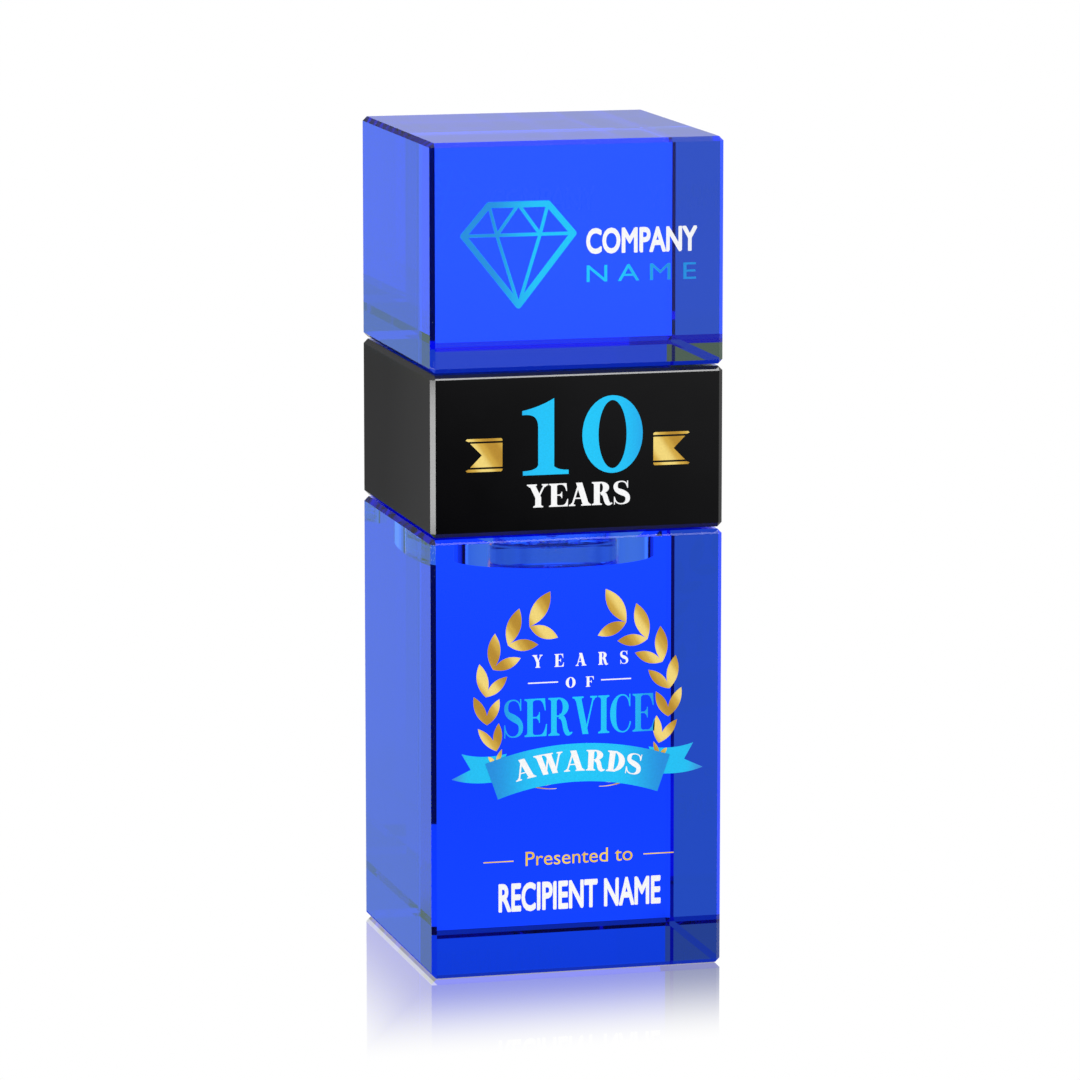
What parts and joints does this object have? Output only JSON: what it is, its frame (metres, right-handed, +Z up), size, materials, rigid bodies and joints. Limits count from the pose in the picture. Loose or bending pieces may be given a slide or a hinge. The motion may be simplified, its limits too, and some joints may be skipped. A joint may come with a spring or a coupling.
{
  "type": "column trophy",
  "caption": "Square column trophy of stacked crystal blocks, clear blue above and below a gloss black one, with each block turning on a hidden swivel.",
  "frame": {"origin": "centre of the underside of the lower block, on the surface that the trophy stands on", "axes": "+Z up the column, along both swivel axes; -Y is the printed front; +X is to the viewer's right from the front"},
  "size_m": [0.06, 0.06, 0.1678],
  "materials": {
    "blue_crystal": "polished, tinted through",
    "black_crystal": "polished, opaque black",
    "tinted_acrylic": "polished, tinted blue to disappear in the crystal",
    "clear_adhesive": "clear cured film",
    "white_ptfe": "waxy white",
    "clear_polycarbonate": "moulded, clear",
    "cyan_ink": "satin printing ink",
    "gold_ink": "satin printing ink, foil effect",
    "white_ink": "satin printing ink"
  },
  "bodies": {
    "base": {"lower_block": "blue_crystal", "lower_swivel_floor_adhesive": "clear_adhesive", "lower_swivel_stator": "tinted_acrylic", "lower_swivel_thrust_washer": "white_ptfe", "lower_swivel_spring_washer": "clear_polycarbonate", "lower_swivel_retainer": "clear_polycarbonate", "lower_swivel_screw": "clear_polycarbonate"},
    "middle": {"middle_block": "black_crystal", "lower_swivel_rotor": "tinted_acrylic", "lower_swivel_roof_adhesive": "clear_adhesive", "upper_swivel_floor_adhesive": "clear_adhesive", "upper_swivel_stator": "tinted_acrylic", "upper_swivel_thrust_washer": "white_ptfe", "upper_swivel_spring_washer": "clear_polycarbonate", "upper_swivel_retainer": "clear_polycarbonate", "upper_swivel_screw": "clear_polycarbonate"},
    "top": {"top_block": "blue_crystal", "upper_swivel_rotor": "tinted_acrylic", "upper_swivel_roof_adhesive": "clear_adhesive"}
  },
  "joints": [
    {"name": "middle_turn", "type": "hinge", "parent": "base", "child": "middle", "pos_m": [0, 0, 0.0892], "axis": [0, 0, 1], "continuous": true},
    {"name": "top_turn", "type": "hinge", "parent": "middle", "child": "top", "pos_m": [0, 0, 0.1221], "axis": [0, 0, 1], "continuous": true}
  ]
}
